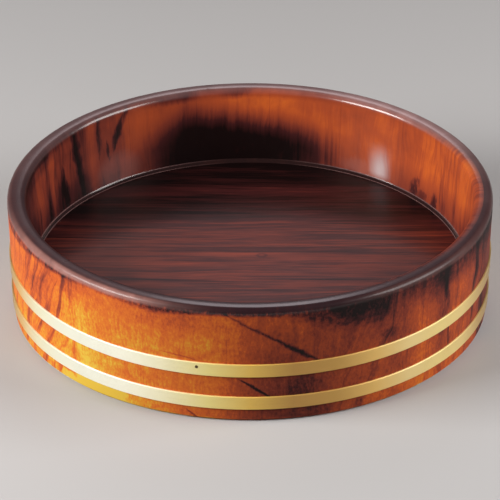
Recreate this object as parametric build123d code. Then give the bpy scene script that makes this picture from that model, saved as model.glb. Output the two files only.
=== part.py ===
from build123d import *
import math
import os

# A shallow coopered rice tub of lacquered wood, bound by two flat brass hoops.
#
# Eighteen tapered staves stand in a ring and are pegged edge to edge. A bottom of five
# boards, also pegged edge to edge, sits by a tongue in a groove cut round the inside of
# the staves. A bead of lacquer putty rounds the inner corner. Each hoop is one strip,
# lapped at the back and nailed through the lap. Millimetres, +Z up, front towards -Y,
# origin on the ground at the middle of the foot.

# Wall of the tub
rim_radius = 135.0
foot_radius = 132.5
tub_height = 70.0
rim_wall = 10.5
floor_wall = 12.4
foot_wall = 11.4
rim_crown = 0.6
rim_inner_round = 3.6
rim_outer_round = 3.2
foot_outer_chamfer = 1.4
foot_inner_chamfer = 1.0

# Staves
stave_count = 18
first_joint_angle = 4.6

# Bottom boards and the groove that holds them
floor_height = 24.4
board_thickness = 12.0
tongue_thickness = 7.0
groove_depth = 2.5
board_joint_shares = (-0.55, -0.17, 0.13, 0.50)

# Bead of putty in the inner corner
bead_size = 1.8
bead_hollow_share = 0.42

# Hoops
hoop_width = 7.8
hoop_thickness = 0.9
hoop_edge_bevel = 0.25
upper_hoop_height = 28.2
lower_hoop_height = 7.8
hoop_lap_length = 15.0
hoop_ramp_length = 3.0
upper_lap_stave = 3
lower_lap_stave = 5

# Whittled four-sided pegs between the staves and between the boards
stave_peg_width = 3.0
stave_peg_length = 20.0
board_peg_width = 3.5
board_peg_length = 24.0
peg_point_share = 0.35
peg_tip_share = 0.35
upper_peg_share = 0.55
outer_row_shares = (-0.62, 0.0, 0.62)
inner_row_shares = (-0.34, 0.34)

# Nails through the hoops
nail_radius = 0.5
nail_length = 8.0
nail_point_length = 1.4
nail_head_radius = 0.85
nail_head_height = 0.25
lap_nail_gap_length = 8.0
front_nail_angle = -102.3
front_nail_share = 0.67

# Gaps between pieces that fit together
wood_fit = 0.1
hoop_fit = 0.05
peg_fit = 0.05

# Worked out from the sizes above
stave_pitch = 360.0 / stave_count
underside_height = floor_height - board_thickness
tongue_base = underside_height + (board_thickness - tongue_thickness) / 2
tongue_top = tongue_base + tongue_thickness


def outer_radius(height):
    """Radius of the wall's outer cone at a height."""
    return foot_radius + (rim_radius - foot_radius) * height / tub_height


def inner_radius(height):
    """Radius of the wall's inner face: one cone above the floor and one below it."""
    at_floor = outer_radius(floor_height) - floor_wall
    if height >= floor_height:
        at_rim = rim_radius - rim_wall
        share = (height - floor_height) / (tub_height - floor_height)
        return at_floor + (at_rim - at_floor) * share
    at_foot = foot_radius - foot_wall
    return at_foot + (at_floor - at_foot) * height / floor_height


def wall_middle(height):
    """Radius half way through the wall at a height."""
    return (outer_radius(height) + inner_radius(height)) / 2


# Radius at the bottom of the groove
groove_radius = inner_radius(floor_height) + groove_depth


def outline(points):
    """Closed face on the XZ plane through (radius, height) points."""
    return Plane.XZ * make_face(Polyline(*points, close=True))


def corner(face, radius, height):
    """The corner of a face on the XZ plane nearest to a radius and height."""
    place = Vector(radius, 0, height)
    return face.vertices().sort_by_distance(place)[0]


def turned(face, start_angle, arc):
    """Solid swept by a face on the XZ plane about Z, from one angle through an arc."""
    return Rot(0, 0, start_angle) * revolve(face, Axis.Z, revolution_arc=arc)


def stave_section():
    """Section of a stave: foot, outer cone, crowned rim, inner cone and groove."""
    foot_inner = foot_radius - foot_wall
    rim_inner = rim_radius - rim_wall
    shoulder = tub_height - rim_crown
    groove_base = tongue_base - wood_fit
    groove_top = tongue_top + wood_fit
    crown = ThreePointArc(
        (rim_radius, shoulder),
        (rim_radius - rim_wall / 2, tub_height),
        (rim_inner, shoulder),
    )
    wall = Polyline(
        (rim_inner, shoulder),
        (inner_radius(floor_height), floor_height),
        (inner_radius(groove_top), groove_top),
        (groove_radius, groove_top),
        (groove_radius, groove_base),
        (inner_radius(groove_base), groove_base),
        (foot_inner, 0),
        (foot_radius, 0),
        (rim_radius, shoulder),
    )
    face = Plane.XZ * make_face([crown, wall])
    face = fillet(corner(face, rim_inner, shoulder), rim_inner_round)
    face = fillet(corner(face, rim_radius, shoulder), rim_outer_round)
    face = chamfer(corner(face, foot_radius, 0), foot_outer_chamfer)
    return chamfer(corner(face, foot_inner, 0), foot_inner_chamfer)


def peg(width, length, fit=0):
    """Bamboo peg along Y about the origin, pointed at both ends; fit makes it a pocket."""
    end = length / 2 + fit
    shoulder = length / 2 * (1 - peg_point_share)
    side = width / 2 + fit
    tip = width / 2 * peg_tip_share + fit
    profile = Polyline(
        (tip, -end),
        (side, -shoulder),
        (side, shoulder),
        (tip, end),
        (-tip, end),
        (-side, shoulder),
        (-side, -shoulder),
        (-tip, -end),
        close=True,
    )
    flat = extrude(make_face(profile), side, both=True)
    return flat & Rot(0, 90, 0) * flat


def stave_peg_heights():
    """Heights of the two pegs in each joint: one in the skirt and one in the wall."""
    upper = floor_height + (tub_height - floor_height) * upper_peg_share
    return (underside_height / 2, upper)


def joint_pegs(angle, fit=0):
    """Both pegs of the joint between two staves at an angle."""
    one = peg(stave_peg_width, stave_peg_length, fit)
    places = [Pos(wall_middle(height), 0, height) for height in stave_peg_heights()]
    return [Rot(0, 0, angle) * place * one for place in places]


def board_edges():
    """Places across the bottom, along Y, where its boards meet."""
    return [share * groove_radius for share in board_joint_shares]


def board_peg_places():
    """Places of the pegs between the boards, with the rows staggered."""
    places = []
    height = floor_height - board_thickness / 2
    for row, across in enumerate(board_edges()):
        half_joint = math.sqrt(groove_radius**2 - across**2)
        shares = inner_row_shares if row % 2 else outer_row_shares
        places += [Pos(share * half_joint, across, height) for share in shares]
    return places


def bottom_disc():
    """The whole bottom, turned with a tongue round its edge, before it is parted."""
    upper = min(inner_radius(floor_height), inner_radius(tongue_top)) - wood_fit
    lower = min(inner_radius(underside_height), inner_radius(tongue_base)) - wood_fit
    tongue = groove_radius - wood_fit
    points = [
        (0, underside_height),
        (lower, underside_height),
        (lower, tongue_base),
        (tongue, tongue_base),
        (tongue, tongue_top),
        (upper, tongue_top),
        (upper, floor_height),
        (0, floor_height),
    ]
    return revolve(outline(points), Axis.Z)


def bottom_boards():
    """The boards, parted from the disc and bored for their pegs."""
    disc = bottom_disc()
    pocket = peg(board_peg_width, board_peg_length, peg_fit)
    disc -= [place * pocket for place in board_peg_places()]
    edges = [-groove_radius, *board_edges(), groove_radius]
    boards = []
    for near, far in zip(edges, edges[1:]):
        slab = Box(2 * groove_radius, far - near, 2 * floor_height)
        boards.append(disc & Pos(0, (near + far) / 2, 0) * slab)
    return boards


def corner_bead():
    """Bead of putty between the wall and the floor, hollowed in two flats."""
    upper = floor_height + bead_size
    foot = (inner_radius(floor_height), floor_height)
    top = (inner_radius(upper), upper)
    toe = (foot[0] - bead_size, floor_height)
    hollow = bead_size * bead_hollow_share
    middle = (foot[0] - hollow, floor_height + hollow)
    return revolve(outline([toe, foot, top, middle]), Axis.Z)


def hoop_section(base, layer):
    """Section of a hoop's strip; layer 0 lies on the staves and layer 1 on the strip."""
    top = base + hoop_width
    lift = hoop_fit + layer * (hoop_thickness + hoop_fit)
    lower_edge = outer_radius(base) + lift + hoop_thickness
    upper_edge = outer_radius(top) + lift + hoop_thickness
    face = outline(
        [
            (outer_radius(base) + lift, base),
            (lower_edge, base),
            (upper_edge, top),
            (outer_radius(top) + lift, top),
        ]
    )
    face = chamfer(corner(face, lower_edge, base), hoop_edge_bevel)
    return chamfer(corner(face, upper_edge, top), hoop_edge_bevel)


def hoop(base, lap_angle):
    """One strip round the tub, stepped up over its own end and lapped there."""
    radius = outer_radius(base)
    lap = math.degrees(hoop_lap_length / radius)
    ramp = math.degrees(hoop_ramp_length / radius)
    start = lap_angle - lap / 2
    under = hoop_section(base, 0)
    over = hoop_section(base, 1)
    strip = turned(under, start, 360 - ramp)
    step = loft([Rot(0, 0, start - ramp) * under, Rot(0, 0, start) * over], ruled=True)
    return strip + step + turned(over, start, lap)


def nail(fit=0):
    """Round nail along X, driven towards the axis, its head's underside at the origin."""
    shank = nail_radius + fit
    length = nail_length + fit
    side = Polyline(
        (0, 0),
        (0, shank),
        (nail_point_length - length, shank),
        (-length, 0),
        close=True,
    )
    return revolve(make_face(side), Axis.X)


def nail_head():
    """Low flat head of a nail with a bevelled edge, on the outside of its seat."""
    crown = nail_head_radius - nail_head_height
    side = Polyline(
        (0, 0),
        (0, nail_head_radius),
        (nail_head_height / 2, nail_head_radius),
        (nail_head_height, crown),
        (nail_head_height, 0),
        close=True,
    )
    return revolve(make_face(side), Axis.X)


def nail_places():
    """Angle, height and layer of strip under the head, for each nail."""
    upper = upper_hoop_height + hoop_width / 2
    lower = lower_hoop_height + hoop_width / 2
    front = upper_hoop_height + hoop_width * front_nail_share
    places = [(front_nail_angle, front, 0)]
    for height, stave in ((upper, upper_lap_stave), (lower, lower_lap_stave)):
        aside = math.degrees(lap_nail_gap_length / 2 / outer_radius(height))
        middle = stave_middle(stave)
        places += [(middle - aside, height, 1), (middle + aside, height, 1)]
    return places


def set_nail(shape, angle, height, layer):
    """Moves a nail made along X to its place on a hoop."""
    seat = outer_radius(height) + (layer + 1) * (hoop_fit + hoop_thickness)
    slope = math.degrees(math.atan((rim_radius - foot_radius) / tub_height))
    return Rot(0, 0, angle) * Pos(seat, 0, height) * Rot(0, slope, 0) * shape


def stave_middle(index):
    """Angle of the middle of a stave."""
    return first_joint_angle + (index + 0.5) * stave_pitch


def staves(nail_pockets):
    """All staves in order, bored for their pegs, with nail holes where nails go in."""
    plain = turned(stave_section(), 0, stave_pitch)
    plain -= joint_pegs(0, peg_fit) + joint_pegs(stave_pitch, peg_fit)
    made = []
    for index in range(stave_count):
        stave = Rot(0, 0, first_joint_angle + index * stave_pitch) * plain
        for pocket, angle in nail_pockets:
            apart = (angle - stave_middle(index) + 180) % 360 - 180
            if abs(apart) < stave_pitch / 2:
                stave -= pocket
        made.append(stave)
    return made


def main():
    nail_spots = nail_places()
    pockets = [(set_nail(nail(peg_fit), *spot), spot[0]) for spot in nail_spots]
    nail_cuts = [pocket for pocket, _ in pockets]
    pieces = {}
    for number, stave in enumerate(staves(pockets), start=1):
        pieces[f"stave_{number:02d}"] = stave
    for number, board in enumerate(bottom_boards(), start=1):
        pieces[f"bottom_board_{number}"] = board
    upper = hoop(upper_hoop_height, stave_middle(upper_lap_stave))
    lower = hoop(lower_hoop_height, stave_middle(lower_lap_stave))
    pieces["upper_hoop"] = upper - nail_cuts
    pieces["lower_hoop"] = lower - nail_cuts
    pieces["corner_bead"] = corner_bead()
    joints = [first_joint_angle + index * stave_pitch for index in range(stave_count)]
    pegs = [one for angle in joints for one in joint_pegs(angle)]
    pieces["stave_pegs"] = Compound(children=pegs)
    one = peg(board_peg_width, board_peg_length)
    pieces["board_pegs"] = Compound(children=[place * one for place in board_peg_places()])
    whole_nail = nail() + nail_head()
    nails = [set_nail(whole_nail, *spot) for spot in nail_spots]
    pieces["hoop_nails"] = Compound(children=nails)
    os.makedirs("parts", exist_ok=True)
    for name, shape in pieces.items():
        export_step(shape, f"parts/{name}.step")


main()
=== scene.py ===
import math

import bmesh
import bpy
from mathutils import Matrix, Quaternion, Vector


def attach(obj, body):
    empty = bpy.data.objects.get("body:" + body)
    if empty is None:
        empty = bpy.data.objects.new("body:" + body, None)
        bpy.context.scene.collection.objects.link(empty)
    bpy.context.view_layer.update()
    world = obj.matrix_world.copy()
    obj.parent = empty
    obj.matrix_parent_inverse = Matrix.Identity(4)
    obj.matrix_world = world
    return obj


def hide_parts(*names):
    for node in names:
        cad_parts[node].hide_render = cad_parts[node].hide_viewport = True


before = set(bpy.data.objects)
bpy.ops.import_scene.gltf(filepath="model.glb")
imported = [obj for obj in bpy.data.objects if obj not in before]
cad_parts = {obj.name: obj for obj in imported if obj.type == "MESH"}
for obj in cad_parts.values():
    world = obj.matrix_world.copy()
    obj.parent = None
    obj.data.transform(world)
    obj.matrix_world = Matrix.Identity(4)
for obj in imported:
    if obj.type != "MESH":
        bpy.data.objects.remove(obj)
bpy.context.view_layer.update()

# Camera, worked out from the circles of the rim, hoops, foot and floor in the photograph
CAMERA_DISTANCE = 2.16
CAMERA_ELEVATION = math.radians(28.91)
CAMERA_ROLL = math.radians(-0.131)
CAMERA_TARGET = Vector((-0.0001, 0, 0.0314))
CAMERA_LENS = 277.5

# Studio
LAMP_AIM = Vector((0, 0, 0.04))
GROUND_RADIUS = 12
GROUND_SEEN = (0.50, 0.49, 0.49)
GROUND_BOUNCE = (0.20, 0.195, 0.195)
SURROUNDINGS_SEEN = (0.145, 0.135, 0.15)
SURROUNDINGS_LIGHT = (0.09, 0.088, 0.09)

# The tub, in millimetres and degrees. Outside, angles are counted from the front to the
# right, and inside from the back to the right. The seam of each lies opposite a joint
RIM_HEIGHT = 70
RIM_SHOULDER = 66.6
RIM_INNER_EDGE = 126.4
RIM_OUTER_EDGE = 132.6
STAVE_ANGLE = 20
FRONT_JOINT = 14.6
BACK_JOINT = 5.4
BOARD_JOINTS = (-67.9, -21.0, 16.1, 61.7)
# The radius of the middle of the wall at the foot, and how much it grows with the height
WALL_MIDDLE = 122.8
WALL_TAPER = 0.1
# The length of one degree
OUTSIDE_ARC = 2.33
INSIDE_ARC = 2.097

# A ramp across the boards covers this width, in millimetres, with the middle at its middle
BOARD_SPAN = 300
# The numbers in the tables that go round the tub lie within half of this from zero
RAMP_SPAN = 16

# The bead's section in millimetres: radius and height
BEAD_TOE = (119.17, 24.4)
BEAD_FOOT = (120.97, 24.4)
BEAD_TOP = (121.1, 26.2)
BEAD_HOLLOW = (120.28, 25.02)
BEAD_HOLLOW_STEPS = 6
BEAD_TURN_STEPS = 192
BEAD_SHARP_EDGE = math.radians(35)

# Wood colours under the lacquer, from near black to lit amber
WOOD_COLOURS = (
    (0.0, (0.008, 0.0035, 0.0035)), (0.2, (0.055, 0.012, 0.012)),
    (0.4, (0.210, 0.037, 0.021)), (0.6, (0.420, 0.074, 0.023)),
    (0.7, (0.580, 0.112, 0.023)), (0.8, (0.660, 0.165, 0.023)),
    (0.9, (0.680, 0.285, 0.028)), (1.0, (0.700, 0.460, 0.055)),
)
RIM_LACQUER = (0.020, 0.005, 0.007)
# Rubbed lacquer on the rim, with its painted sheen
WORN_LACQUER_AND_SHEEN = (0.36, 0.20, 0.19)
# The colour of the painted highlight on the rim's outer edge
PAINTED_EDGE_HIGHLIGHT = (0.42, 0.20, 0.17)
# The colour of the painted sheen low on the inside wall
PAINTED_SHEEN_COLOUR = (0.55, 0.42, 0.42)
# The colour of the painted highlights on the bead
PAINTED_BEAD_HIGHLIGHT = (0.19, 0.10, 0.095)
AGED_BRASS = (0.46, 0.27, 0.08)

# Tables that go round the outside: degrees and a value

# How light the wood is, with painted light and shade: lighter on the left where the main lamp
# falls, darker at the front and front right
OUTSIDE_TONES_AND_SHADING = (
    (-165.4, 0.58), (-130, 0.54), (-100, 0.60), (-78, 0.72), (-64, 0.68), (-55, 0.69),
    (-50, 0.86), (-46, 0.86), (-42, 0.91), (-38, 0.82), (-28, 0.85), (-20, 0.80), (-16, 0.76),
    (-8, 0.82), (-4, 0.72), (0, 0.61), (6, 0.47), (12, 0.54), (22, 0.46), (27, 0.48),
    (31, 0.38), (36, 0.42), (44, 0.62), (49, 0.43), (52, 0.39), (55, 0.68), (60, 0.58),
    (64, 0.50), (69, 0.42), (73, 0.30), (120, 0.50), (194.6, 0.58),
)
# How much lighter it gets from the rim to the foot
OUTSIDE_SLOPES = (
    (-165.4, 0.05), (-78, 0.12), (-64, 0.20), (-55, 0.11), (-50, 0.04), (-46, 0.10),
    (-38, 0.07), (-28, 0.0), (-16, 0.0), (-10, -0.08), (-4, -0.13), (6, -0.12), (12, -0.08),
    (19, -0.03), (22, 0.0), (27, 0.06), (31, 0.24), (36, 0.03), (44, 0.06), (49, 0.20),
    (55, 0.0), (64, 0.06), (73, 0.0), (120, 0.05), (194.6, 0.05),
)
# How much darker it gets over the last two centimetres below the rim
OUTSIDE_SHADES = (
    (-165.4, 0.10), (-78, 0.0), (-64, -0.12), (-55, 0.02), (-50, 0.16), (-46, 0.24),
    (-42, 0.18), (-38, 0.10), (-28, 0.13), (-20, 0.15), (-8, 0.08), (0, 0.0), (6, -0.10),
    (12, -0.06), (22, 0.18), (27, 0.16), (36, 0.04), (44, 0.26), (49, 0.20), (55, 0.32),
    (60, 0.30), (69, 0.16), (78, 0.12), (194.6, 0.10),
)
# How much lighter it gets just above the foot
FOOT_TONES = (
    (-165.4, 0.0), (-64, 0.0), (-46, 0.16), (-32, 0.20), (-28, -0.02), (-20, 0.0), (10, 0.0),
    (22, 0.06), (30, 0.04), (37, 0.22), (45, 0.08), (194.6, 0.0),
)
# How far the grain leans, and how streaky it is
GRAIN_LEANS = (
    (-165.4, 0.2), (-90, 0.3), (-50, 0.45), (-44, 0.05), (18, 0.0), (24, 0.4), (34, 0.45),
    (36, 0.05), (90, 0.0), (150, 0.2), (194.6, 0.2),
)
OUTSIDE_STREAKINESS = (
    (-165.4, 0.6), (-90, 0.7), (-50, 1.0), (-45.6, 0.9), (-44.6, 0.15), (-10, 0.10),
    (20, 0.25), (34, 0.5), (36, 0.3), (54, 0.5), (60, 0.8), (90, 0.9), (120, 0.5),
    (194.6, 0.6),
)
# The dark lacquer under the rim: how far down it comes, in centimetres, how much it
# darkens the wood, and how soft its edge is, in centimetres
BAND_DEPTHS = (
    (-165.4, 0.6), (-90, 0.7), (-74, 0.85), (-67, 0.80), (-62, 0.60), (-47, 0.55),
    (-40, 0.40), (-30, 0.55), (-22, 0.65), (-12, 0.40), (3, 0.42), (9, 0.45), (15, 0.75),
    (19, 0.95), (23, 1.25), (26, 1.20), (28, 1.20), (31, 1.50), (33, 1.35), (36, 0.50),
    (44, 0.65), (48, 0.90), (51, 0.95), (56, 0.50), (60, 0.50), (66, 0.80), (90, 0.8),
    (130, 0.6), (194.6, 0.6),
)
BAND_DARKNESS = (
    (-165.4, 0.35), (-90, 0.36), (-48, 0.36), (-40, 0.16), (-30, 0.32), (-18, 0.44),
    (-12, 0.60), (8, 0.46), (15, 0.46), (20, 0.46), (26, 0.36), (32, 0.32), (35.5, 0.20),
    (46, 0.22), (52, 0.26), (55, 0.30), (72, 0.20), (120, 0.3), (194.6, 0.35),
)
BAND_SOFTNESS = (
    (-165.4, 0.12), (-60, 0.14), (-20, 0.14), (8, 0.16), (16, 0.85), (52, 0.80), (64, 0.35),
    (194.6, 0.12),
)
# How far the lacquer is rubbed over the rim, with a painted sheen at the back, and the painted
# highlight on its outer edge
RIM_WEAR_AND_SHEEN = (
    (-165.4, 0.32), (-135, 0.30), (-110, 0.20), (-90, 0.09), (-20, 0.04), (0, 0.0),
    (70, 0.05), (90, 0.15), (108, 0.30), (120, 0.65), (135, 0.85), (150, 0.70), (165, 0.48),
    (194.6, 0.32),
)
# The painted highlight on the rim's outer edge, most at the front left
EDGE_HIGHLIGHTS = (
    (-165.4, 0.0), (-80, 0.1), (-65, 0.5), (-50, 0.8), (-28, 0.75), (-18, 0.15), (-8, 0.0),
    (20, 0.0), (35, 0.15), (60, 0.15), (90, 0.0), (194.6, 0.0),
)
# How polished the rim is, and how much of that its inner edge has lost
RIM_SHINE = (
    (-165.4, 0.90), (-125, 0.60), (-95, 0.12), (-60, 0.12), (-40, 0.15), (-25, 0.30),
    (-15, 0.75), (12, 0.90), (25, 0.50), (36, 0.12), (50, 0.06), (80, 0.08), (100, 0.30),
    (120, 0.85), (194.6, 0.90),
)
INNER_EDGE_DULLNESS = (
    (-165.4, 0.0), (-60, 0.0), (-40, 0.12), (-15, 0.65), (12, 0.80), (25, 0.42), (36, 0.1),
    (60, 0.0), (194.6, 0.0),
)

# Tables that go round the inside

# How light the wood is
INSIDE_TONES = (
    (-174.6, 0.42), (-120, 0.38), (-92, 0.18), (-84, 0.22), (-81, 0.27), (-78, 0.46),
    (-74, 0.47), (-69, 0.36), (-66, 0.50), (-63, 0.39), (-58, 0.37), (-51, 0.28), (-48, 0.50),
    (-44, 0.37), (-37, 0.49), (-30, 0.59), (-24, 0.51), (-19, 0.49), (-13, 0.57), (-3, 0.69),
    (4, 0.72), (20, 0.63), (29, 0.57), (37, 0.63), (42, 0.63), (46, 0.56), (58, 0.69),
    (66, 0.66), (78, 0.73), (88, 0.62), (120, 0.42), (185.4, 0.42),
)
# How streaky it is, and how strong its fine grain is
INSIDE_STREAKINESS = (
    (-174.6, 0.8), (-90, 1.0), (-52, 0.9), (-45, 0.5), (-20, 0.2), (30, 0.2), (44, 0.3),
    (50, 0.7), (80, 0.8), (120, 0.8), (185.4, 0.8),
)
INSIDE_GRAIN = (
    (-174.6, 0.22), (-58, 0.22), (-46, 0.12), (44, 0.12), (56, 0.22), (185.4, 0.22),
)
# Where the painted shadow at the bottom of the wall is half dark, in centimetres, and how much it
# darkens the wood
PAINTED_SHADOW_HEIGHTS = (
    (-174.6, 3.6), (-90, 3.6), (-36, 3.8), (-30, 4.5), (-24, 4.9), (-17, 5.5), (-10, 5.4),
    (0, 5.1), (10, 4.9), (15, 4.7), (21, 4.2), (26, 3.8), (32, 3.4), (60, 3.6), (78, 4.0),
    (90, 4.8), (130, 3.8), (185.4, 3.6),
)
PAINTED_SHADOW_DARKNESS = (
    (-174.6, 0.2), (-50, 0.24), (-44, 0.12), (-37, 0.16), (-30, 0.29), (-24, 0.45),
    (-16, 0.63), (-4, 0.72), (6, 0.74), (13, 0.61), (20, 0.34), (25, 0.20), (32, 0.14),
    (44, 0.17), (60, 0.29), (78, 0.30), (90, 0.36), (185.4, 0.2),
)
# How much darker the wood gets close under the rim
SHOULDER_SHADES = (
    (-174.6, 0.2), (-95, 0.28), (-70, 0.28), (-63, 0.12), (-58, 0.12), (-52, 0.0),
    (-32, 0.06), (-25, 0.26), (-17, 0.31), (-13, 0.13), (-9, 0.16), (-5, 0.38), (-2, 0.38),
    (1, 0.18), (20, 0.14), (30, 0.04), (90, 0.0), (185.4, 0.2),
)
# How far the rim's lacquer comes in past the inner edge, in centimetres
RIM_REACH = (
    (-174.6, 0.2), (-100, 0.3), (-40, 0.3), (0, 0.12), (20, 0.15), (32, 0.28), (58, 0.25),
    (72, 0.0), (90, -0.2), (130, 0.0), (185.4, 0.2),
)

# Tables of dark streaks. Each has its share of the wood's waviness, the middle and reach of
# its run, the curve of its line, its width and softness, and how dark it is
OUTSIDE_SLANTS = (
    (0.40, 6, 32, (55.0, -0.615, 0), 1.9, 2.6, 1.0),
    (0.40, 25, 15, (43.3, -0.63, 0), 2.6, 2.6, 1.0),
    (0.26, 2.5, 11, (20.8, -0.68, 0), 1.7, 1.5, 1.0),
    (0.20, -31, 5, (2.2, -0.70, 0), 1.3, 1.1, 0.7),
    (0.16, -38, 17, (38.6, -0.13, -0.004), 1.0, 1.2, 0.4),
)
OUTSIDE_UPRIGHTS = (
    (0.3, 55, 14, (121, 0, 0), 2.6, 2.6, 0.5),
    (0.2, 22, 12, (125.3, -0.05, 0), 1.3, 1.1, 0.6),
    (0.3, 56, 11, (-107.8, 0, 0), 2.0, 2.0, 0.35),
)
INSIDE_UPRIGHTS = (
    (1.0, 37, 19, (-125.8, -0.1, 0), 4.6, 4.6, 1.0),
    (1.0, 33, 13, (-144.6, 0, 0), 2.0, 2.6, 0.8),
    (1.0, 52, 32, (-112.4, -0.14, 0), 4.3, 4.2, 0.95),
    (1.0, 62, 22, (-94.2, 0.02, 0), 3.0, 3.6, 0.7),
    (1.0, 57, 13, (-80, 0.45, 0), 3.8, 3.4, 0.9),
    (1.0, 66, 9, (-74.4, 0.25, 0), 2.6, 3.0, 0.7),
    (1.0, 48, 9, (-88, -0.1, 0), 1.6, 1.6, 0.6),
    (0.7, 43, 18, (131.8, -0.05, 0), 1.3, 1.5, 0.5),
    (0.7, 36, 14, (150.5, -0.2, 0), 1.2, 1.5, 0.5),
    (0.0, 52, 30, (92.4, 0, 0), 2.0, 3.0, 0.25),
)
FLOOR_VEINS = (
    (0.35, -30, 52, (68.6, 0, 0), 1.3, 1.6, 1.0),
    (0.4, -55, 75, (58, -0.03, 0), 3.0, 3.0, 1.0),
    (0.5, 70, 45, (56, 0.02, 0), 2.2, 3.0, 0.5),
    (0.3, -80, 60, (40.4, -0.05, 0), 1.2, 1.6, 1.0),
    (0.3, -90, 60, (27, -0.06, 0), 1.3, 1.6, 1.0),
    (0.4, 10, 125, (11, -0.02, 0), 2.0, 2.4, 0.5),
    (0.4, -50, 60, (-21, -0.08, 0), 1.9, 2.4, 0.7),
    (0.3, 50, 40, (-21, 0.01, 0), 1.5, 2.0, 0.7),
    (0.0, 0, 90, (-40, 0, 0), 1.4, 2.0, 0.5),
)
# Tables of dark smudges: centre, size, softness, and how dark each is
OUTSIDE_SMUDGES = (
    ((29, 21), (8, 8), 0.95, 0.32),
    ((79, 43), (4, 4), 0.95, 0.25),
    ((32, 3.5), (12, 4.5), 0.9, 0.35),
    ((60, 3), (3, 4), 0.9, 0.35),
)
INSIDE_SMUDGES = (
    ((108, 32), (3.0, 5.4), 0.95, 0.58),
    ((114, 28.5), (3.2, 3.4), 0.95, 0.42),
    ((126.5, 29), (2.8, 6.0), 0.95, 0.62),
)

# The hoops' colour, with painted highlights: pale at the front left and at the right where the
# lamps shine, darker gold at the front and at the sides
HOOP_PAINTED_HIGHLIGHTS = (
    (-180, (0.72, 0.50, 0.17)), (-98, (0.60, 0.40, 0.14)), (-82, (0.36, 0.24, 0.09)),
    (-70, (0.67, 0.43, 0.15)), (-60, (0.78, 0.75, 0.52)), (-50, (0.80, 0.80, 0.65)),
    (-40, (0.88, 0.89, 0.76)), (-30, (0.98, 0.97, 0.80)), (-20, (1.0, 0.94, 0.62)),
    (-10, (1.0, 0.86, 0.32)), (0, (0.96, 0.63, 0.13)), (10, (0.62, 0.34, 0.08)),
    (20, (0.66, 0.38, 0.09)), (30, (0.93, 0.59, 0.17)), (40, (0.98, 0.75, 0.32)),
    (50, (0.98, 0.77, 0.29)), (60, (0.88, 0.66, 0.26)), (70, (0.58, 0.38, 0.14)),
    (82, (0.34, 0.23, 0.09)), (98, (0.60, 0.40, 0.14)), (180, (0.72, 0.50, 0.17)),
)


class Value:
    """A shader socket that takes part in plain arithmetic."""

    def __init__(self, nodes, socket):
        self.nodes = nodes
        self.socket = socket

    def __add__(self, other):
        return self.nodes.math("ADD", self, other)

    def __sub__(self, other):
        return self.nodes.math("SUBTRACT", self, other)

    def __rsub__(self, other):
        return self.nodes.math("SUBTRACT", other, self)

    def __mul__(self, other):
        return self.nodes.math("MULTIPLY", self, other)

    def __truediv__(self, other):
        return self.nodes.math("DIVIDE", self, other)

    def __pow__(self, other):
        return self.nodes.math("POWER", self, other)

    def __abs__(self):
        return self.nodes.math("ABSOLUTE", self)

    __radd__ = __add__
    __rmul__ = __mul__

    def fade(self, low, high):
        """0 below low, 1 above high, smooth between them."""
        settings = {"interpolation_type": "SMOOTHSTEP"}
        sockets = {"Value": self, "From Min": low, "From Max": high}
        return self.nodes.add("MapRange", settings, sockets)

    def either(self, other):
        return self.nodes.math("MAXIMUM", self, other)


class Nodes:
    """The shader nodes of a material or of the world."""

    def __init__(self, tree):
        self.tree = tree

    def add(self, kind, settings, sockets, output=0):
        node = self.tree.nodes.new("ShaderNode" + kind)
        for name, value in settings.items():
            if name == "stops":
                self.set_stops(node.color_ramp, value)
            elif name == "interpolation":
                node.color_ramp.interpolation = value
            else:
                setattr(node, name, value)
        for name, value in sockets.items():
            if isinstance(value, Value):
                self.tree.links.new(value.socket, node.inputs[name])
            else:
                node.inputs[name].default_value = value
        return Value(self, node.outputs[output])

    def set_stops(self, ramp, stops):
        for number, (position, colour) in enumerate(stops):
            if number < 2:
                stop = ramp.elements[number]
                stop.position = position
            else:
                stop = ramp.elements.new(position)
            if isinstance(colour, (int, float)):
                colour = (colour, colour, colour)
            stop.color = (*colour, 1)

    def math(self, operation, *values):
        return self.add("Math", {"operation": operation}, dict(enumerate(values)))

    def ramp(self, value, stops, interpolation="LINEAR"):
        settings = {"stops": stops, "interpolation": interpolation}
        return self.add("ValToRGB", settings, {"Fac": value})

    def mix(self, amount, first, second):
        first, second = [
            value if isinstance(value, Value) else (*value, 1) for value in (first, second)
        ]
        return self.add("Mix", {"data_type": "RGBA"}, {0: amount, 6: first, 7: second}, 2)

    def seen(self):
        """1 for what shows to the camera, in gloss or through something clear, else 0."""
        rays = self.add("LightPath", {}, {}).socket.node.outputs
        names = ("Is Camera Ray", "Is Glossy Ray", "Is Transmission Ray")
        return strongest([Value(self, rays[name]) for name in names])


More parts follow.
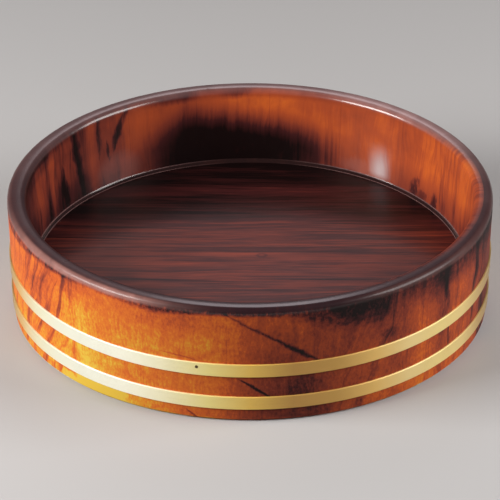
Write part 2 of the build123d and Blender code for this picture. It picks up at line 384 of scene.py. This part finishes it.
class Finish(Nodes):
    """A material under construction."""

    def __init__(self, name, constants):
        self.material = bpy.data.materials.new(name)
        self.material.use_nodes = True
        super().__init__(self.material.node_tree)
        self.shader = self.tree.nodes["Principled BSDF"]
        for socket, value in constants.items():
            self.shader.inputs[socket].default_value = value

    def finish(self, links):
        for socket, value in links.items():
            self.tree.links.new(value.socket, self.shader.inputs[socket])
        return self.material

    def place(self):
        """Across, back and up on the tub, in millimetres."""
        coordinates = self.add("TexCoord", {}, {}, "Object")
        split = self.add("SeparateXYZ", {}, {"Vector": coordinates}).socket.node
        return [Value(self, split.outputs[axis]) * 1000 for axis in "XYZ"]

    def noise(self, across, along, seed, gain, detail=2.0, roughness=0.5, distortion=0.0):
        """Noise about zero. One unit of across and along is one feature."""
        spot = self.add("CombineXYZ", {}, {"X": across, "Y": along, "Z": seed})
        sockets = {
            "Vector": spot,
            "Scale": 1.0,
            "Detail": detail,
            "Roughness": roughness,
            "Distortion": distortion,
        }
        return (self.add("TexNoise", {}, sockets) - 0.5) * gain

    def angle(self, across, ahead, joint=0.0):
        """Degrees from straight ahead, to the right. The seam is opposite the joint."""
        turn = math.radians(joint)
        right = across * math.cos(turn) - ahead * math.sin(turn)
        front = ahead * math.cos(turn) + across * math.sin(turn)
        return self.math("ARCTAN2", right, front) * math.degrees(1) + joint

    def by_angle(self, angle, stops, seam):
        """The number that a table gives for this angle. Its stops are in degrees."""
        # A ramp holds nothing below 0, so the numbers are scaled down and lifted on their way
        stops = [((place - seam) / 360, value / RAMP_SPAN + 0.5) for place, value in stops]
        return self.ramp((angle - seam) / 360, stops) * RAMP_SPAN - RAMP_SPAN / 2

    def stroke(self, along, across, middle, reach, line, width, soft):
        """A tapering stroke whose middle line is a curve of across over along."""
        run = along - middle
        path = run * line[1] + line[0]
        if line[2]:
            path = path + run * run * line[2]
        room = (1 - (run / reach) ** 2) * width - abs(across - path)
        return room.fade(0, soft)

    def strokes(self, along, across, waves, table):
        """One mark for each line of the table, made wavy by its own share of the waves."""
        return [
            self.stroke(along, across + waves * share, *shape) * weight
            for share, *shape, weight in table
        ]

    def spot(self, across, up, centre, size, soft):
        """A smudge. Its edge is at size and fades outwards by soft, in shares of its size."""
        reach = ((across - centre[0]) / size[0]) ** 2 + ((up - centre[1]) / size[1]) ** 2
        return 1 - reach.fade(1 - soft, 1 + soft)

    def spots(self, across, up, table):
        return [self.spot(across, up, *shape) * weight for *shape, weight in table]

    def bumps(self, height, strength, distance):
        sockets = {"Height": height, "Strength": strength, "Distance": distance}
        return self.add("Bump", {}, sockets)


def strongest(values):
    result, *others = values
    for value in others:
        result = result.either(value)
    return result


class Wall:
    """A place on the wall, and the grain there.

    u and z are millimetres round and up the outside, v and h round and up the inside.
    """

    def __init__(self, f):
        self.f = f
        x, y, z = f.place()
        self.z = z
        self.radius = (x * x + y * y) ** 0.5
        self.inside = 1 - (self.radius - z * WALL_TAPER - WALL_MIDDLE).fade(-0.2, 0.2)
        self.outside_angle = f.angle(x, 0 - y, FRONT_JOINT)
        self.inside_angle = f.angle(x, y, BACK_JOINT)

        u = self.u = self.outside_angle * OUTSIDE_ARC
        wander = f.noise(u / 34, z / 30, 3.1, 14) + f.noise(u / 9, z / 14, 7.7, 3.5)
        leaning = u - self.round_outside(GRAIN_LEANS) * (z - RIM_HEIGHT / 2) + wander
        self.streaks = f.noise(leaning / 6.5, z / 55, 1.3, 2.0, 3, 0.6)
        self.threads = f.noise(leaning / 1.5, z / 20, 5.2, 1.0, 2)
        self.flecks = f.noise(u / 1.1, z / 1.9, 9.4, 1.0, 2, 0.6)
        self.blotches = f.noise(u / 15, z / 11, 2.6, 1.6, 4, 0.6, 0.8)

        v = self.v = self.inside_angle * INSIDE_ARC
        # The height is stretched a little so that the marks reach down to the floor
        h = self.h = z * 0.965 + 2.46
        drifting = v + (f.noise(v / 30, z / 40, 13.1, 10) + f.noise(v / 8, z / 18, 17.7, 2.5))
        self.bars = f.noise(drifting / 5.0, h / 60, 11.3, 2.0, 3, 0.6)
        self.hairs = f.noise(drifting / 1.4, h / 18, 15.2, 1.0, 3)
        self.clouds = f.noise(v / 16, h / 14, 12.6, 1.6, 3, 0.5, 0.4)

    def round_outside(self, stops):
        return self.f.by_angle(self.outside_angle, stops, FRONT_JOINT - 180)

    def round_inside(self, stops):
        return self.f.by_angle(self.inside_angle, stops, BACK_JOINT - 180)

    def joints(self):
        """1 on the hairline joints between the staves."""
        # Counted in staves, 21 more to stay above zero and a half so that joints are at 0.5
        staves = (self.outside_angle - FRONT_JOINT) / STAVE_ANGLE + 21.5
        to_joint = abs(self.f.math("FRACT", staves) - 0.5) * STAVE_ANGLE * OUTSIDE_ARC
        return 1 - to_joint.fade(0.10, 0.45)


def outside_tone(f, wall):
    """How light the wood is on the outside, with painted light and shade round it, and black
    where the lacquer is thick.
    """
    u, z, blotches, threads, flecks = wall.u, wall.z, wall.blotches, wall.threads, wall.flecks
    # The wood's tone, with painted light on the left and painted shade at the front
    tone = wall.round_outside(OUTSIDE_TONES_AND_SHADING)
    tone = tone + ((46 - z) / 50).fade(-0.2, 0.6) * wall.round_outside(OUTSIDE_SLOPES)
    tone = tone - ((z - 48) / 14).fade(0, 1) * wall.round_outside(OUTSIDE_SHADES)
    tone = tone + blotches * 0.20 + threads * 0.22 + flecks * 0.34
    streakiness = wall.round_outside(OUTSIDE_STREAKINESS)
    tone = tone - (wall.streaks + 0.05).fade(0.0, 0.5) * streakiness * 0.42

    # Dark figure in the wood, with gaps in it
    waves = f.noise(u / 1.3, z / 3, 4.4, 4.0, 2) + f.noise(u / 12, z / 9, 6.1, 8.0, 2)
    gaps = f.noise(u / 1.4, z / 1.4, 24.2, 1.0, 2)
    figure = strongest([
        *f.strokes(u, z, waves, OUTSIDE_SLANTS),
        *f.strokes(z, u, waves, OUTSIDE_UPRIGHTS),
        *f.spots(u + waves, z + waves, OUTSIDE_SMUDGES),
    ])
    tone = tone - figure * (0.50 + gaps * 0.7)

    # Dark lacquer that comes down from the rim, mottled at the front right
    mottle = f.noise(u / 3.6, z / 3.2, 8.8, 3.2, 4, 0.65) + flecks * 2.0 + threads * 0.8
    band = z - RIM_HEIGHT + wall.round_outside(BAND_DEPTHS) * 10
    band = (band / (wall.round_outside(BAND_SOFTNESS) * 10) + mottle).fade(-1.0, 1.0)
    band = band * wall.round_outside(BAND_DARKNESS)
    return tone - band * (0.92 + blotches * 0.4 - flecks * 1.8 - threads * 1.2)


def inside_tone(f, wall):
    """How light the wood is on the inside, with painted shadow low on the wall above the floor.
    """
    v, h, bars, hairs, clouds = wall.v, wall.h, wall.bars, wall.hairs, wall.clouds
    tone = wall.round_inside(INSIDE_TONES) + clouds * 0.16
    tone = tone + hairs * wall.round_inside(INSIDE_GRAIN)
    tone = tone - (bars + 0.05).fade(0.0, 0.5) * wall.round_inside(INSIDE_STREAKINESS) * 0.22

    # Painted shadow low on the inside wall, darkest at the back
    painted_shadow = wall.round_inside(PAINTED_SHADOW_HEIGHTS) * 10 - h + hairs * 8 + bars * 2 + clouds * 5
    painted_shadow = painted_shadow.fade(-12, 12) * wall.round_inside(PAINTED_SHADOW_DARKNESS)
    # Fine dark lines that end the painted shadow on the right
    comb = f.noise(v / 1.5, 0.0, 18.5, 1.0, 0).fade(-0.18, 0.18)
    comb = comb * f.spot(v, h, (38, 35), (17, 13), 0.9)
    shoulder = (h - 66.5 + hairs * 4 + clouds * 2).fade(-3, 2)
    shoulder = shoulder * wall.round_inside(SHOULDER_SHADES)

    waves = f.noise(v / 2.0, h / 6, 14.4, 2.4, 2) + f.noise(v / 1.0, h / 2.4, 28.4, 1.4, 2)
    waves = waves + f.noise(v / 9, h / 8, 38.4, 3.0, 1)
    frays = f.noise(v / 0.9, h / 5, 48.4, 1.0, 2)
    marks = strongest([
        *f.strokes(h, v, waves, INSIDE_UPRIGHTS),
        *f.spots(v + waves * 2, h + waves * 3, INSIDE_SMUDGES),
    ])
    tone = tone - marks * (0.40 + frays * 0.2) - painted_shadow - comb * 0.10 - shoulder
    # Darker under the rim at the left
    return tone - f.spot(v, h, (-158, 66), (24, 6), 0.8) * 0.12


def painted_sheen(f, wall):
    """A painted sheen, the reflection of a lamp, low on the inside wall, most at the back right.
    """
    v, h, hairs = wall.v, wall.h, wall.hairs
    sheen = (wall.inside_angle - 36.2 + hairs).fade(-2.8, 2.2)
    sheen = sheen * (1 - (wall.inside_angle - 40.6 + hairs).fade(-2.4, 2.4))
    sheen = sheen * (h - 29.2).fade(-3.5, 2.5) * (1 - (h - 42 + hairs * 4).fade(-9, 9))
    sheen = sheen.either(f.spot(v, h + hairs * 6, (71, 31), (14, 5), 0.95) * 0.08)
    return sheen.either(f.spot(v, h, (-82, 34), (13, 10), 0.9) * 0.08)


def wall_colour(f, wall, joint):
    z, radius, blotches = wall.z, wall.radius, wall.blotches
    tone = outside_tone(f, wall)
    tone = tone + (inside_tone(f, wall) - tone) * wall.inside - joint * 0.05
    # Paler in the last two millimetres above the foot
    tone = tone + (1 - (z + wall.threads * 1.5).fade(0.9, 2.0)) * 0.16
    tone = tone + (1 - (z + blotches * 3).fade(6, 13)) * wall.round_outside(FOOT_TONES)
    colour = f.ramp(tone, WOOD_COLOURS)
    # Painted sheen low on the inside wall
    colour = f.mix(painted_sheen(f, wall) * wall.inside, colour, PAINTED_SHEEN_COLOUR)

    # Dark lacquer over the rim, thinning towards the inside and rubbed in places, with a painted
    # sheen at the back
    wear_and_sheen = wall.round_outside(RIM_WEAR_AND_SHEEN) * (1 + wall.clouds * 0.8)
    lacquer = f.mix(wear_and_sheen, RIM_LACQUER, WORN_LACQUER_AND_SHEEN)
    reach = (radius - RIM_INNER_EDGE + wall.round_inside(RIM_REACH) * 10).fade(-2.2, 3.6)
    cap = (z - RIM_SHOULDER - 0.8 + blotches * 0.6).fade(-1.0, 1.0) * reach
    colour = f.mix(cap * 0.96, colour, lacquer)
    # Painted highlight on the rim's outer edge
    edge = wall.round_outside(EDGE_HIGHLIGHTS) * (radius - RIM_OUTER_EDGE).fade(-1.0, 1.0)
    edge = edge * (z - RIM_SHOULDER + blotches).fade(-1.0, 1.0)
    return f.mix(edge * (0.8 + blotches * 0.8), colour, PAINTED_EDGE_HIGHLIGHT)


def wall_finish():
    f = Finish(
        "lacquered_wall",
        {"Specular IOR Level": 0.16, "Coat Roughness": 0.17, "Coat IOR": 1.5},
    )
    wall = Wall(f)
    joint = wall.joints()
    top = (wall.z - RIM_SHOULDER).fade(-1.2, 1.2)
    rough = f.noise(wall.u / 6, wall.z / 12, 31.0, 0.12, 3) + wall.threads * 0.03 + 0.55
    rough = rough - wall.inside * 0.17 - top * (0.20 - wall.inside * 0.12)
    inner_edge = 1 - (wall.radius - RIM_INNER_EDGE).fade(-1.6, 1.6)
    shine = wall.round_outside(RIM_SHINE)
    shine = shine - wall.round_outside(INNER_EDGE_DULLNESS) * inner_edge
    height = wall.threads * 0.5 + wall.hairs * wall.inside * 0.5 - joint * 0.6
    height = height + f.noise(wall.u / 7, wall.z / 14, 33, 2.2)
    return f.finish({
        "Base Color": wall_colour(f, wall, joint),
        "Roughness": rough,
        "Coat Weight": top * shine + wall.inside * (0.1 - top * 0.1),
        "Normal": f.bumps(height, 0.25, 0.00012),
    })


def floor_finish():
    f = Finish("lacquered_floor", {"Specular IOR Level": 0.17})
    x, y, _ = f.place()
    # A number for each board, from the front, so that the grain differs between them
    board_stops = [(0.0, 0.1)] + [
        (joint / BOARD_SPAN + 0.5, (number + 2) * 0.17)
        for number, joint in enumerate(BOARD_JOINTS)
    ]
    board = f.ramp(y / BOARD_SPAN + 0.5, board_stops, "CONSTANT")
    wander = f.noise(x / 70, y / 30, 41.1, 6) + f.noise(x / 26, y / 12, 42.2, 1.6)
    grain = y + wander + board * 37
    figure = f.noise(x / 90, grain / 7.5, 43.3, 2.0, 4, 0.6)
    lines = f.noise(x / 60, grain / 1.9, 44.4, 1.0, 3, 0.6)
    pores = f.noise(x / 9, y / 0.9, 45.5, 1.0, 1)
    tone = 0.226 + figure * 0.22 + lines * 0.40 + pores * 0.10 + board * 0.02

    # Warmer streaks at the back right, a painted reflection of the orange wall; lighter in the
    # middle and at the left; darker at the back, in painted shade
    tone = tone + f.spot(x, y, (75, 38), (48, 32), 0.7) * (lines * 0.3 - 0.01)
    tone = tone - (y - 36).fade(0, 26) * 0.19 + (y - 72).fade(0, 6) * 0.09
    tone = tone + f.spot(x, y, (0, 3), (150, 26), 0.6) * 0.03
    tone = tone + f.spot(x, y, (-76, -8), (28, 24), 0.6) * 0.05
    tone = tone - (y + wander * 0.3 - 90).fade(-2.5, 2.5) * 0.12

    # A ring of a knot, just behind the middle
    knot = abs(((x - 6.5) ** 2 + (y * 1.3 - 8.5) ** 2) ** 0.5 - 2.4)
    knot = (1 - knot.fade(0.2, 1.6)) * 0.3
    veins = strongest([*f.strokes(x, y, wander, FLOOR_VEINS), knot])
    tone = tone - veins * (lines * 0.5 + 0.27)

    joint = abs(y - BOARD_JOINTS[0])
    for place in BOARD_JOINTS[1:]:
        joint = f.math("MINIMUM", joint, abs(y - place))
    joint = 1 - joint.fade(0.12, 0.55)
    radius = (x * x + y * y) ** 0.5
    # Darker at the board joints, and painted shade in the corner towards the wall
    tone = tone - joint * 0.08 - radius.fade(100, 122) * 0.04
    height = lines * 0.7 + pores * 0.3 - joint * 0.8 + f.noise(x / 22, y / 14, 47, 1.6)
    return f.finish({
        "Base Color": f.ramp(tone, WOOD_COLOURS),
        "Roughness": f.noise(x / 30, y / 8, 46.6, 0.08, 2) + lines * 0.04 + 0.30,
        "Normal": f.bumps(height, 0.2, 0.00012),
    })


def bead_finish():
    f = Finish("lacquer_bead", {"Specular IOR Level": 0.32})
    x, y, z = f.place()
    cloud = f.noise(x / 12, y / 12, 51.1, 1.0, 3)
    fine = f.noise(x / 1.5, y / 1.5, 52.2, 1.0, 2)
    colour = f.ramp(cloud * 0.5 + fine * 0.2 + 0.5, (
        (0.1, (0.010, 0.004, 0.004)), (0.5, (0.020, 0.007, 0.006)), (0.9, (0.050, 0.014, 0.010)),
    ))
    # Painted highlights along its top edge and its toe, least at the back
    radius = (x * x + y * y) ** 0.5
    top = (z - (BEAD_TOP[1] - 0.6)).fade(0, 0.35)
    toe = (BEAD_TOE[0] + 0.48 - radius).fade(0, 0.3)
    from_back = abs(f.math("ARCTAN2", x, y))
    bead_highlights = top.either(toe) * (from_back + cloud * 0.2).fade(0.1, 0.55)
    return f.finish({
        "Base Color": f.mix(bead_highlights * (0.8 + fine), colour, PAINTED_BEAD_HIGHLIGHT),
        "Roughness": cloud * 0.06 + 0.13,
        "Normal": f.bumps(cloud + fine * 0.3, 0.2, 0.0001),
    })


def hoop_finish():
    f = Finish("brass_hoop", {"Coat Roughness": 0.3, "Coat IOR": 1.5})
    x, y, z = f.place()
    angle = f.angle(x, 0 - y)
    brushed = f.noise(angle * OUTSIDE_ARC / 26, z / 0.35, 61.1, 1.0, 2)
    cloud = f.noise(x / 22, y / 22, 62.2, 1.0, 3)
    specks = f.noise(x / 1.1, z / 1.1 + y / 1.1, 63.3, 1.0, 1)
    stops = [(place / 360 + 0.5, colour) for place, colour in HOOP_PAINTED_HIGHLIGHTS]
    # Painted highlights and shade round the hoop
    painted_highlights = f.ramp(angle / 360 + 0.5, stops)
    aged = (cloud * 0.8 + brushed * 0.4 + specks * 0.3).fade(-0.1, 0.9) * 0.5
    return f.finish({
        "Base Color": f.mix(aged, painted_highlights, AGED_BRASS),
        "Metallic": cloud * 0.1 + 0.25,
        "Roughness": cloud * 0.12 + brushed * 0.12 + 0.46,
        "Coat Weight": 0.2 + cloud * 0.1,
        "Normal": f.bumps(brushed + cloud * 2, 0.12, 0.0001),
    })


def nail_finish():
    f = Finish("brass_nail", {"Metallic": 0.8})
    x, _, z = f.place()
    cloud = f.noise(x / 0.5, z / 0.5, 71.1, 1.0, 2)
    colour = f.ramp(cloud + 0.5, ((0.2, (0.045, 0.026, 0.016)), (0.8, (0.16, 0.10, 0.05))))
    return f.finish({"Base Color": colour, "Roughness": cloud * 0.2 + 0.45})


def bamboo_finish():
    f = Finish("bamboo", {"Specular IOR Level": 0.4})
    x, y, z = f.place()
    fibre = f.noise(x / 0.35 + y / 0.35, z / 0.35, 81.1, 1.0, 2)
    return f.finish({
        "Base Color": f.ramp(fibre + 0.5, ((0.2, (0.42, 0.30, 0.14)), (0.8, (0.68, 0.53, 0.29)))),
        "Roughness": fibre * 0.2 + 0.5,
        "Normal": f.bumps(fibre, 0.3, 0.0001),
    })


def ground_finish():
    """Pale to the camera and in gloss, quieter as a source of bounced light."""
    f = Finish("studio_floor", {"Roughness": 0.9, "Specular IOR Level": 0.0})
    return f.finish({"Base Color": f.mix(f.seen(), GROUND_BOUNCE, GROUND_SEEN)})


def add_camera():
    data = bpy.data.cameras.new("camera")
    data.lens = CAMERA_LENS
    camera = bpy.data.objects.new("camera", data)
    bpy.context.scene.collection.objects.link(camera)
    back = Vector((0, -math.cos(CAMERA_ELEVATION), math.sin(CAMERA_ELEVATION)))
    camera.location = CAMERA_TARGET + CAMERA_DISTANCE * back
    camera.rotation_mode = "QUATERNION"
    roll = Quaternion((0, 0, 1), CAMERA_ROLL)
    camera.rotation_quaternion = (-back).to_track_quat("-Z", "Y") @ roll
    bpy.context.scene.camera = camera


def add_softbox(name, azimuth, elevation, distance, size, watts, colour):
    """A rectangular lamp. Azimuth is from the front, to the right."""
    around, up = math.radians(azimuth), math.radians(elevation)
    towards = Vector((
        math.sin(around) * math.cos(up),
        -math.cos(around) * math.cos(up),
        math.sin(up),
    ))
    data = bpy.data.lights.new(name, "AREA")
    data.shape = "RECTANGLE"
    data.size, data.size_y = size
    data.energy = watts
    data.color = colour
    light = bpy.data.objects.new(name, data)
    bpy.context.scene.collection.objects.link(light)
    light.location = LAMP_AIM + distance * towards
    light.rotation_mode = "QUATERNION"
    light.rotation_quaternion = (-towards).to_track_quat("-Z", "Y")


def add_studio():
    add_softbox("left_box", -70, 27, 1.3, (0.75, 0.45), 23, (1.0, 0.98, 0.95))
    add_softbox("right_box", 80, 27, 1.3, (0.80, 0.65), 16, (1.0, 0.98, 0.96))
    add_softbox("back_box", 180, 40.5, 2.6, (0.48, 0.95), 3.8, (1.0, 0.90, 0.94))

    bpy.ops.mesh.primitive_circle_add(vertices=64, radius=GROUND_RADIUS, fill_type="NGON")
    ground = bpy.context.object
    ground.name = "studio_floor"
    ground.data.materials.append(ground_finish())

    world = bpy.data.worlds.new("studio")
    bpy.context.scene.world = world
    world.use_nodes = True
    nodes = Nodes(world.node_tree)
    shade = nodes.mix(nodes.seen(), SURROUNDINGS_LIGHT, SURROUNDINGS_SEEN)
    nodes.tree.links.new(shade.socket, nodes.tree.nodes["Background"].inputs["Color"])


def make_bead():
    """Fillet of lacquer putty in the corner between the wall and the floor."""
    section = [BEAD_FOOT, BEAD_TOP]
    for step in range(1, BEAD_HOLLOW_STEPS):
        t = step / BEAD_HOLLOW_STEPS
        section.append(tuple(
            a * (1 - t) ** 2 + b * 2 * t * (1 - t) + c * t * t
            for a, b, c in zip(BEAD_TOP, BEAD_HOLLOW, BEAD_TOE)
        ))
    section.append(BEAD_TOE)

    shape = bmesh.new()
    points = [shape.verts.new((radius / 1000, 0, z / 1000)) for radius, z in section]
    edges = [shape.edges.new((a, b)) for a, b in zip(points, points[1:] + points[:1])]
    bmesh.ops.spin(
        shape, geom=points + edges, cent=(0, 0, 0), axis=(0, 0, 1), dvec=(0, 0, 0),
        angle=2 * math.pi, steps=BEAD_TURN_STEPS, use_merge=True,
    )
    bmesh.ops.recalc_face_normals(shape, faces=shape.faces)
    for face in shape.faces:
        face.smooth = True
    for edge in shape.edges:
        edge.smooth = edge.calc_face_angle(0) < BEAD_SHARP_EDGE
    mesh = bpy.data.meshes.new("lacquer_bead")
    shape.to_mesh(mesh)
    shape.free()
    bead = bpy.data.objects.new("lacquer_bead", mesh)
    bpy.context.scene.collection.objects.link(bead)
    bead.data.materials.append(bead_finish())
    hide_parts("corner_bead")
    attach(bead, "root")


def dress():
    """Give each of the part's own pieces, apart from its bead, a material."""
    finishes = {
        "stave_": wall_finish(),
        "bottom_board": floor_finish(),
        "upper_hoop": hoop_finish(),
        "hoop_nails": nail_finish(),
        "stave_pegs": bamboo_finish(),
    }
    finishes["lower_hoop"] = finishes["upper_hoop"]
    finishes["board_pegs"] = finishes["stave_pegs"]
    for name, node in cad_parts.items():
        if name != "corner_bead":
            # The longest match, so that the pegs aren't taken for staves
            kind = max((start for start in finishes if name.startswith(start)), key=len)
            node.data.materials.clear()
            node.data.materials.append(finishes[kind])


add_camera()
add_studio()
dress()
make_bead()
bpy.context.scene.view_settings.view_transform = "Standard"
